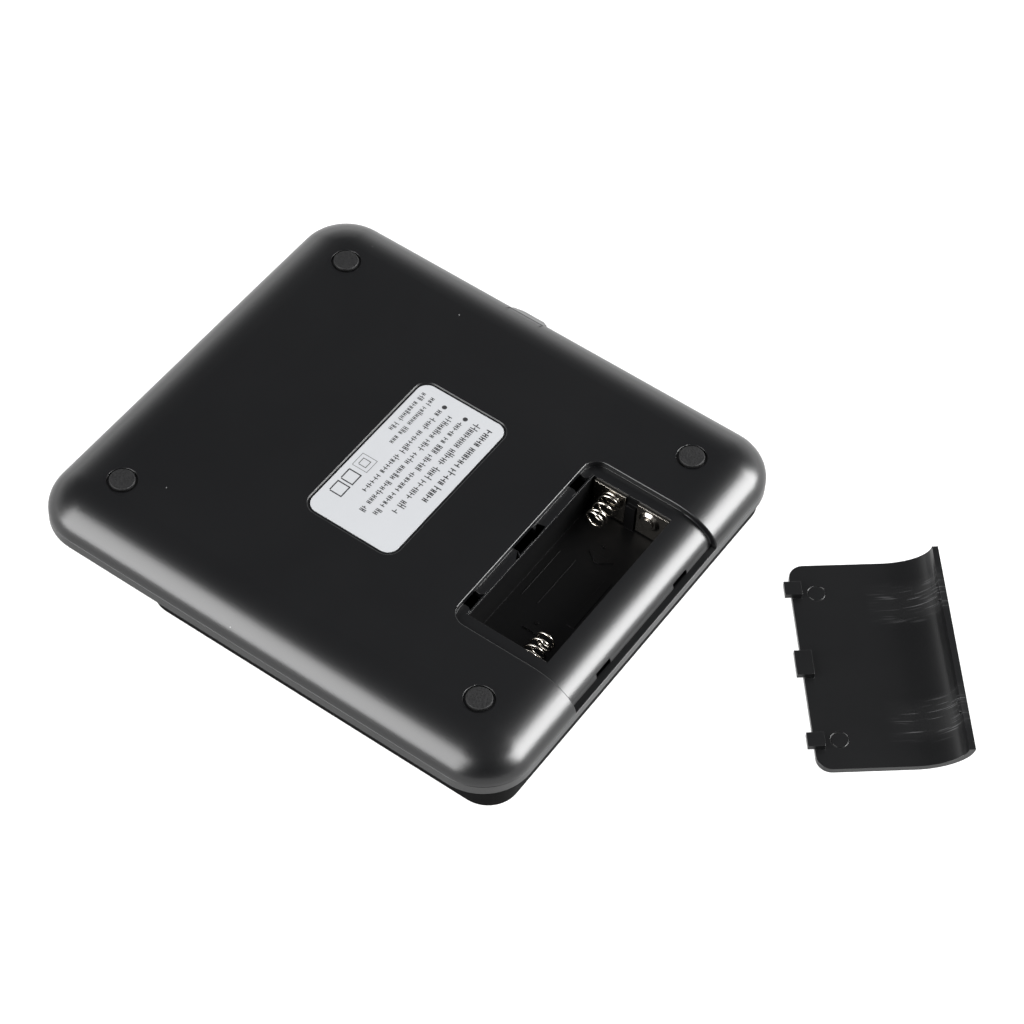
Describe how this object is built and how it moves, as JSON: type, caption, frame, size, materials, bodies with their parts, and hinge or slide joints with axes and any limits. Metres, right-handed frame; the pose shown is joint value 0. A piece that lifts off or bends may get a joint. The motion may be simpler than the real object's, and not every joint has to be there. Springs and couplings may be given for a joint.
{
  "type": "pocket platform scale",
  "caption": "Small flat weighing scale lying face down, rounded housing with rubber feet, open cell bay with spring contacts, rating label, loose bay cover beside it.",
  "frame": {"origin": "on the surface the scale lies on, in the plane of the weighing face, under the middle of the housing", "axes": "+Z out of the underside of the scale (up, as it lies face down), +X from the display end to the battery end, +Y across the housing"},
  "size_m": [0.2126, 0.1234, 0.0184],
  "materials": {
    "base_plastic": "satin moulded ABS with a fine grain",
    "top_plastic": "satin moulded ABS",
    "cover_plastic": "satin moulded ABS, smoother inside",
    "tray_plastic": "smooth black ABS",
    "foot_rubber": "matt moulded rubber",
    "label_film": "printed polyester film",
    "zinc_steel": "zinc plated",
    "nickel_wire": "nickel plated spring wire",
    "nickel_plate": "nickel plated sheet",
    "brushed_skin": "brushed stainless sheet",
    "spider_steel": "zinc plated sheet",
    "cell_aluminium": "machined",
    "gauge_film": "clear coating over foil gauges",
    "wire_black": "PVC insulation",
    "wire_red": "PVC insulation",
    "board_green": "solder resist",
    "epoxy_black": "potted drop of epoxy",
    "switch_plastic": "moulded",
    "lcd_glass": "laminated liquid crystal glass",
    "backlight_plastic": "light guide",
    "zebra_rubber": "striped conductive elastomer",
    "window_plastic": "clear acrylic",
    "overlay_film": "polyester film",
    "key_plastic": "satin painted ABS"
  },
  "bodies": {
    "housing": {"base_shell": "base_plastic", "top_shell": "top_plastic", "foot_display_left": "foot_rubber", "foot_display_right": "foot_rubber", "foot_battery_left": "foot_rubber", "foot_battery_right": "foot_rubber", "rating_label": "label_film", "housing_screws": "zinc_steel", "spring_inner": "nickel_wire", "spring_outer": "nickel_wire", "spring_plate": "nickel_plate", "positive_plate": "nickel_plate", "link_plate": "nickel_plate", "load_cell": "cell_aluminium", "strain_gauges": "gauge_film", "load_cell_screws": "zinc_steel", "load_cell_cable": "wire_black", "main_board": "board_green", "board_screws": "zinc_steel", "controller_chip": "epoxy_black", "tact_switches": "switch_plastic", "lcd_glass": "lcd_glass", "backlight": "backlight_plastic", "zebra_strip": "zebra_rubber", "display_window": "window_plastic", "display_overlay": "overlay_film", "battery_lead_red": "wire_red", "battery_lead_black": "wire_black"},
    "platform": {"platform_tray": "tray_plastic", "platform_skin": "brushed_skin", "platform_spider": "spider_steel", "platform_spacer": "cell_aluminium", "platform_screws": "zinc_steel"},
    "cover": {"battery_cover": "cover_plastic"},
    "key_power": {"key_power": "key_plastic"},
    "key_tare": {"key_tare": "key_plastic"},
    "key_unit": {"key_unit": "key_plastic"},
    "key_count": {"key_count": "key_plastic"}
  },
  "joints": [
    {"name": "platform_press", "type": "slide", "parent": "housing", "child": "platform", "axis": [0, 0, 1], "range_m": [0, 0.0004], "stiffness_N_per_m": 6000, "springref_m": -0.0006, "deforming": ["load_cell"]},
    {"name": "cover_lift", "type": "slide", "parent": "housing", "child": "cover", "axis": [0, 0, 1], "range_m": [0, 0.04]},
    {"name": "key_power_press", "type": "slide", "parent": "housing", "child": "key_power", "axis": [0, 0, 1], "range_m": [0, 0.00035], "stiffness_N_per_m": 2000, "springref_m": -0.0003},
    {"name": "key_tare_press", "type": "slide", "parent": "housing", "child": "key_tare", "axis": [0, 0, 1], "range_m": [0, 0.00035], "stiffness_N_per_m": 2000, "springref_m": -0.0003},
    {"name": "key_unit_press", "type": "slide", "parent": "housing", "child": "key_unit", "axis": [0, 0, 1], "range_m": [0, 0.00035], "stiffness_N_per_m": 2000, "springref_m": -0.0003},
    {"name": "key_count_press", "type": "slide", "parent": "housing", "child": "key_count", "axis": [0, 0, 1], "range_m": [0, 0.00035], "stiffness_N_per_m": 2000, "springref_m": -0.0003}
  ]
}
